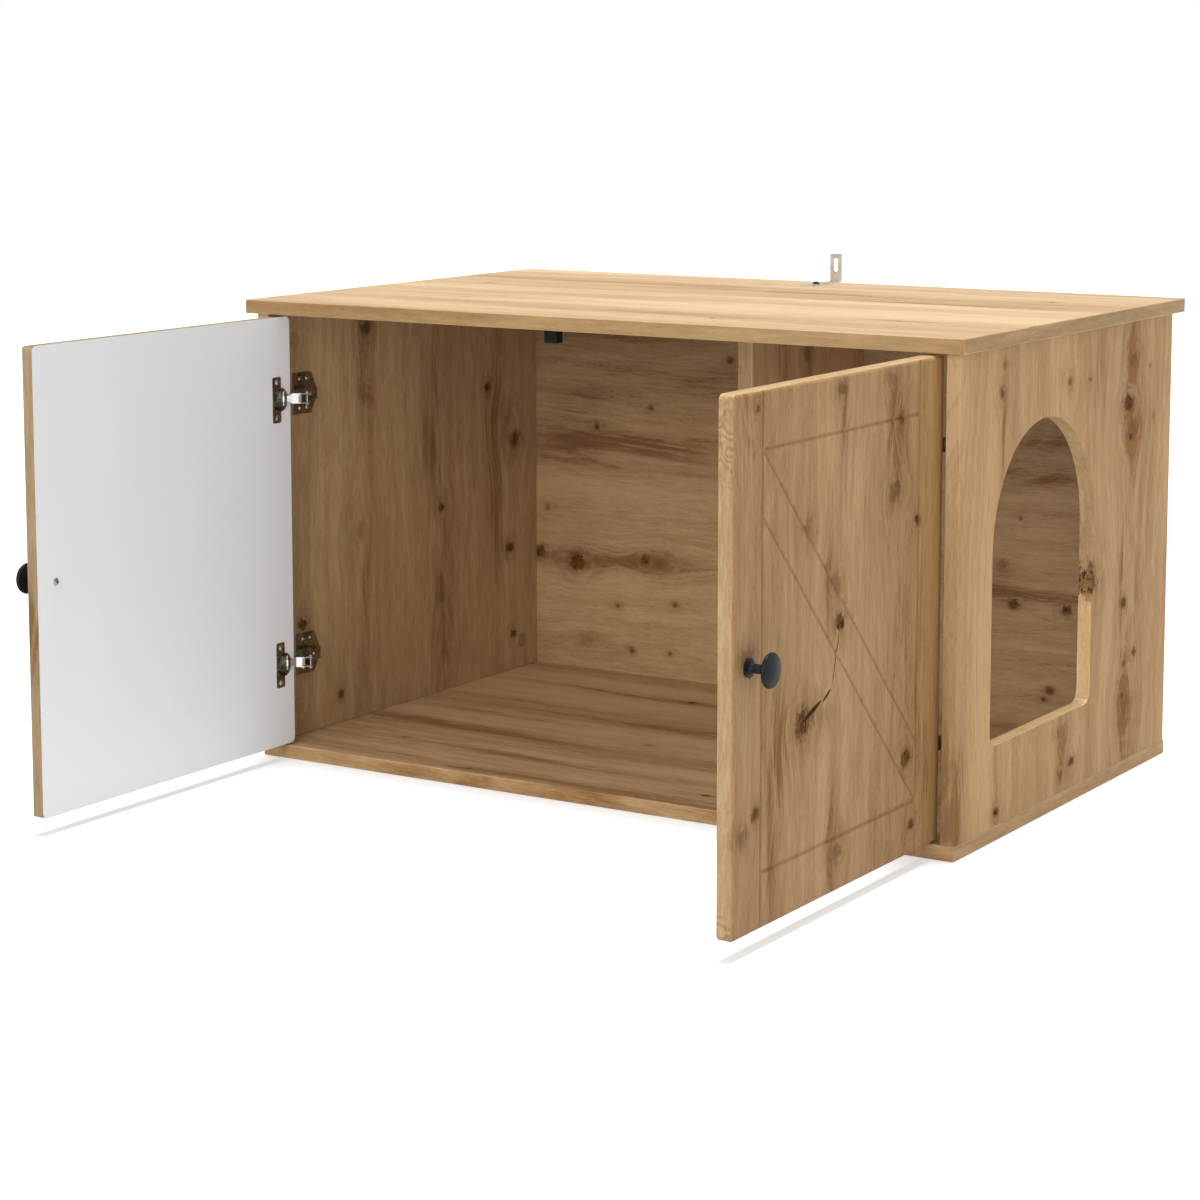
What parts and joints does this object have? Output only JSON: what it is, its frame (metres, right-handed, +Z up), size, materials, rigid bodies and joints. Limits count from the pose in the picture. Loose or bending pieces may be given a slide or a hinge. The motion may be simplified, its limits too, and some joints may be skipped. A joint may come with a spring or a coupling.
{
  "type": "cat house",
  "caption": "Low oak-look cabinet that hides a litter tray, with an arched cat entrance in its right side and a pair of hinged front doors.",
  "frame": {"origin": "centre of the bottom board's underside, on the floor", "axes": "front faces -Y, +X towards the side with the arched entrance, +Z up"},
  "size_m": [0.862, 0.944, 0.5415],
  "materials": {
    "oak_decor": "satin foil with a knotty oak grain on particle board",
    "back_decor": "satin foil with a knotty oak grain on thin fibreboard",
    "door_decor": "satin foil with a knotty oak grain on the outer face and edges, white on the inner face",
    "black_knob": "satin black",
    "zinc_screw": "zinc plated",
    "nickel_hinge": "nickel plated, slightly dark",
    "bright_link": "bright nickel",
    "zinc_fitting": "die cast zinc",
    "brown_cover": "matte brown",
    "beech_dowel": "plain fluted beech, drawn smooth",
    "black_plastic": "matte black",
    "zinc_bracket": "zinc plated sheet",
    "black_screw": "black oxide"
  },
  "bodies": {
    "cabinet": {"top_board": "oak_decor", "bottom_board": "oak_decor", "left_side_panel": "oak_decor", "right_side_panel": "oak_decor", "back_panel": "back_decor", "divider_panel": "oak_decor", "left_upper_hinge_arm": "nickel_hinge", "left_lower_hinge_arm": "nickel_hinge", "right_upper_hinge_arm": "nickel_hinge", "right_lower_hinge_arm": "nickel_hinge", "left_upper_wall_plate": "nickel_hinge", "left_lower_wall_plate": "nickel_hinge", "right_upper_wall_plate": "nickel_hinge", "right_lower_wall_plate": "nickel_hinge", "left_arm_pins": "bright_link", "right_arm_pins": "bright_link", "left_plate_screws": "nickel_hinge", "right_plate_screws": "nickel_hinge", "left_arm_screws": "nickel_hinge", "right_arm_screws": "nickel_hinge", "cam_locks": "zinc_fitting", "cam_bolts": "zinc_fitting", "cam_covers": "brown_cover", "wooden_dowels": "beech_dowel", "door_stop": "black_plastic", "stop_screw": "zinc_screw", "wall_bracket": "zinc_bracket", "bracket_screw": "black_screw"},
    "left_door_leaf": {"left_door": "door_decor", "left_knob": "black_knob", "left_knob_screw": "zinc_screw", "left_upper_hinge_cup": "nickel_hinge", "left_lower_hinge_cup": "nickel_hinge", "left_cup_pins": "bright_link", "left_cup_screws": "nickel_hinge"},
    "right_door_leaf": {"right_door": "door_decor", "right_knob": "black_knob", "right_knob_screw": "zinc_screw", "right_upper_hinge_cup": "nickel_hinge", "right_lower_hinge_cup": "nickel_hinge", "right_cup_pins": "bright_link", "right_cup_screws": "nickel_hinge"},
    "left_links": {"left_upper_hinge_link": "bright_link", "left_lower_hinge_link": "bright_link"},
    "right_links": {"right_upper_hinge_link": "bright_link", "right_lower_hinge_link": "bright_link"}
  },
  "joints": [
    {"name": "left_door_swing", "type": "hinge", "parent": "cabinet", "child": "left_door_leaf", "pos_m": [-0.3985, -0.267, 0.254], "axis": [0, 0, 1], "range_deg": [-5, 90]},
    {"name": "left_link_turn", "type": "hinge", "parent": "left_door_leaf", "child": "left_links", "pos_m": [-0.389, -0.2691, 0.254], "axis": [0, 0, 1], "range_deg": [-121, 7]},
    {"name": "right_door_swing", "type": "hinge", "parent": "cabinet", "child": "right_door_leaf", "pos_m": [0.3985, -0.267, 0.254], "axis": [0, 0, -1], "range_deg": [-5, 90]},
    {"name": "right_link_turn", "type": "hinge", "parent": "right_door_leaf", "child": "right_links", "pos_m": [0.389, -0.2691, 0.254], "axis": [0, 0, -1], "range_deg": [-121, 7]}
  ],
  "couplings": [
    {"joint": "left_link_turn", "follows": "left_door_swing", "ratio": -1.338},
    {"joint": "right_link_turn", "follows": "right_door_swing", "ratio": -1.338}
  ]
}
